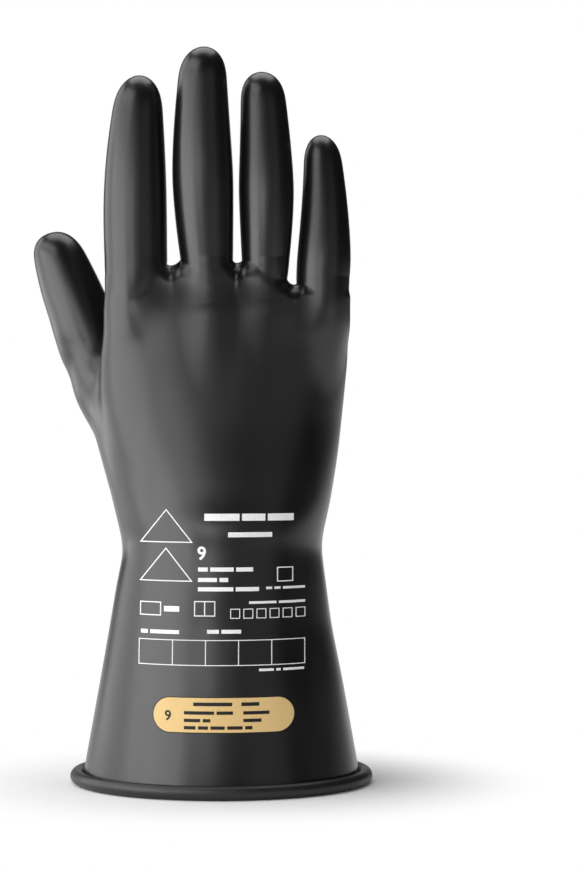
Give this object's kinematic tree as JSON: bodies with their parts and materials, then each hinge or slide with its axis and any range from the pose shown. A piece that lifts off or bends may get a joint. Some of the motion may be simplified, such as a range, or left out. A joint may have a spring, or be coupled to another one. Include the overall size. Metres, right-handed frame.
{
  "type": "electrical insulating glove",
  "caption": "Thin black rubber gauntlet glove for the right hand, with a rolled cuff, a class label and stalls that bend at the finger joints.",
  "frame": {"origin": "centre of the cuff opening, on the surface that the glove stands on", "axes": "+Z from the cuff to the fingertips, the back of the hand faces -Y, the palm faces +Y, the thumb is on the -X side"},
  "size_m": [0.1319, 0.115, 0.2796],
  "materials": {
    "rubber": "black dipped natural rubber, smooth satin sheen",
    "rolled_rubber": "black rubber rolled into a solid edge, satin",
    "label": "flat beige printed patch, slightly glossy ink"
  },
  "bodies": {
    "gauntlet": {"rolled_cuff": "rolled_rubber", "gauntlet": "rubber", "class_label": "label", "wrist_bend": "rubber"},
    "hand": {"hand": "rubber", "index_base_bend": "rubber", "middle_base_bend": "rubber", "ring_base_bend": "rubber", "little_base_bend": "rubber", "thumb_base_bend": "rubber"},
    "index_base": {"index_base_segment": "rubber", "index_middle_bend": "rubber"},
    "index_middle": {"index_middle_segment": "rubber", "index_tip_bend": "rubber"},
    "index_tip": {"index_tip_segment": "rubber"},
    "middle_base": {"middle_base_segment": "rubber", "middle_middle_bend": "rubber"},
    "middle_middle": {"middle_middle_segment": "rubber", "middle_tip_bend": "rubber"},
    "middle_tip": {"middle_tip_segment": "rubber"},
    "ring_base": {"ring_base_segment": "rubber", "ring_middle_bend": "rubber"},
    "ring_middle": {"ring_middle_segment": "rubber", "ring_tip_bend": "rubber"},
    "ring_tip": {"ring_tip_segment": "rubber"},
    "little_base": {"little_base_segment": "rubber", "little_middle_bend": "rubber"},
    "little_middle": {"little_middle_segment": "rubber", "little_tip_bend": "rubber"},
    "little_tip": {"little_tip_segment": "rubber"},
    "thumb_base": {"thumb_base_segment": "rubber", "thumb_tip_bend": "rubber"},
    "thumb_tip": {"thumb_tip_segment": "rubber"}
  },
  "joints": [
    {"name": "wrist_flex", "type": "hinge", "parent": "gauntlet", "child": "hand", "pos_m": [0, 0, 0.09044], "axis": [-1, 0, 0], "range_deg": [-30, 35], "stiffness_Nm_per_rad": 0.3, "deforming": ["wrist_bend"]},
    {"name": "index_base_flex", "type": "hinge", "parent": "hand", "child": "index_base", "pos_m": [-0.03249, 0.00148, 0.20423], "axis": [-0.9999, 0, 0.0122], "range_deg": [-10, 60], "stiffness_Nm_per_rad": 0.012, "deforming": ["index_base_bend"]},
    {"name": "index_middle_flex", "type": "hinge", "parent": "index_base", "child": "index_middle", "pos_m": [-0.03217, 0.00329, 0.23048], "axis": [-0.9999, 0, 0.0122], "range_deg": [0, 65], "stiffness_Nm_per_rad": 0.008, "deforming": ["index_middle_bend"]},
    {"name": "index_tip_flex", "type": "hinge", "parent": "index_middle", "child": "index_tip", "pos_m": [-0.03194, 0.00421, 0.2488], "axis": [-0.9999, 0, 0.0122], "range_deg": [0, 45], "stiffness_Nm_per_rad": 0.005, "deforming": ["index_tip_bend"]},
    {"name": "middle_base_flex", "type": "hinge", "parent": "hand", "child": "middle_base", "pos_m": [-0.00543, -0.00112, 0.20366], "axis": [-0.9991, 0, -0.0419], "range_deg": [-10, 60], "stiffness_Nm_per_rad": 0.012, "deforming": ["middle_base_bend"]},
    {"name": "middle_middle_flex", "type": "hinge", "parent": "middle_base", "child": "middle_middle", "pos_m": [-0.00672, 0.00154, 0.23449], "axis": [-0.9991, 0, -0.0419], "range_deg": [0, 65], "stiffness_Nm_per_rad": 0.008, "deforming": ["middle_middle_bend"]},
    {"name": "middle_tip_flex", "type": "hinge", "parent": "middle_middle", "child": "middle_tip", "pos_m": [-0.00762, 0.00265, 0.25596], "axis": [-0.9991, 0, -0.0419], "range_deg": [0, 45], "stiffness_Nm_per_rad": 0.005, "deforming": ["middle_tip_bend"]},
    {"name": "ring_base_flex", "type": "hinge", "parent": "hand", "child": "ring_base", "pos_m": [0.01685, -0.00103, 0.20328], "axis": [-0.9998, 0, -0.0192], "range_deg": [-10, 60], "stiffness_Nm_per_rad": 0.012, "deforming": ["ring_base_bend"]},
    {"name": "ring_middle_flex", "type": "hinge", "parent": "ring_base", "child": "ring_middle", "pos_m": [0.01633, 0.00136, 0.23072], "axis": [-0.9998, 0, -0.0192], "range_deg": [0, 65], "stiffness_Nm_per_rad": 0.008, "deforming": ["ring_middle_bend"]},
    {"name": "ring_tip_flex", "type": "hinge", "parent": "ring_middle", "child": "ring_tip", "pos_m": [0.01596, 0.00236, 0.24982], "axis": [-0.9998, 0, -0.0192], "range_deg": [0, 45], "stiffness_Nm_per_rad": 0.005, "deforming": ["ring_tip_bend"]},
    {"name": "little_base_flex", "type": "hinge", "parent": "hand", "child": "little_base", "pos_m": [0.03865, 0.00142, 0.1967], "axis": [-1, 0, 0], "range_deg": [-10, 60], "stiffness_Nm_per_rad": 0.012, "deforming": ["little_base_bend"]},
    {"name": "little_middle_flex", "type": "hinge", "parent": "little_base", "child": "little_middle", "pos_m": [0.03865, 0.00256, 0.21708], "axis": [-1, 0, 0], "range_deg": [0, 65], "stiffness_Nm_per_rad": 0.008, "deforming": ["little_middle_bend"]},
    {"name": "little_tip_flex", "type": "hinge", "parent": "little_middle", "child": "little_tip", "pos_m": [0.03865, 0.00313, 0.23134], "axis": [-1, 0, 0], "range_deg": [0, 45], "stiffness_Nm_per_rad": 0.005, "deforming": ["little_tip_bend"]},
    {"name": "thumb_base_flex", "type": "hinge", "parent": "hand", "child": "thumb_base", "pos_m": [-0.05043, 0.02538, 0.16423], "axis": [-0.9336, 0, -0.3584], "range_deg": [-5, 35], "stiffness_Nm_per_rad": 0.012, "deforming": ["thumb_base_bend"]},
    {"name": "thumb_tip_flex", "type": "hinge", "parent": "thumb_base", "child": "thumb_tip", "pos_m": [-0.06021, 0.02839, 0.18971], "axis": [-0.9336, 0, -0.3584], "range_deg": [0, 50], "stiffness_Nm_per_rad": 0.005, "deforming": ["thumb_tip_bend"]}
  ]
}
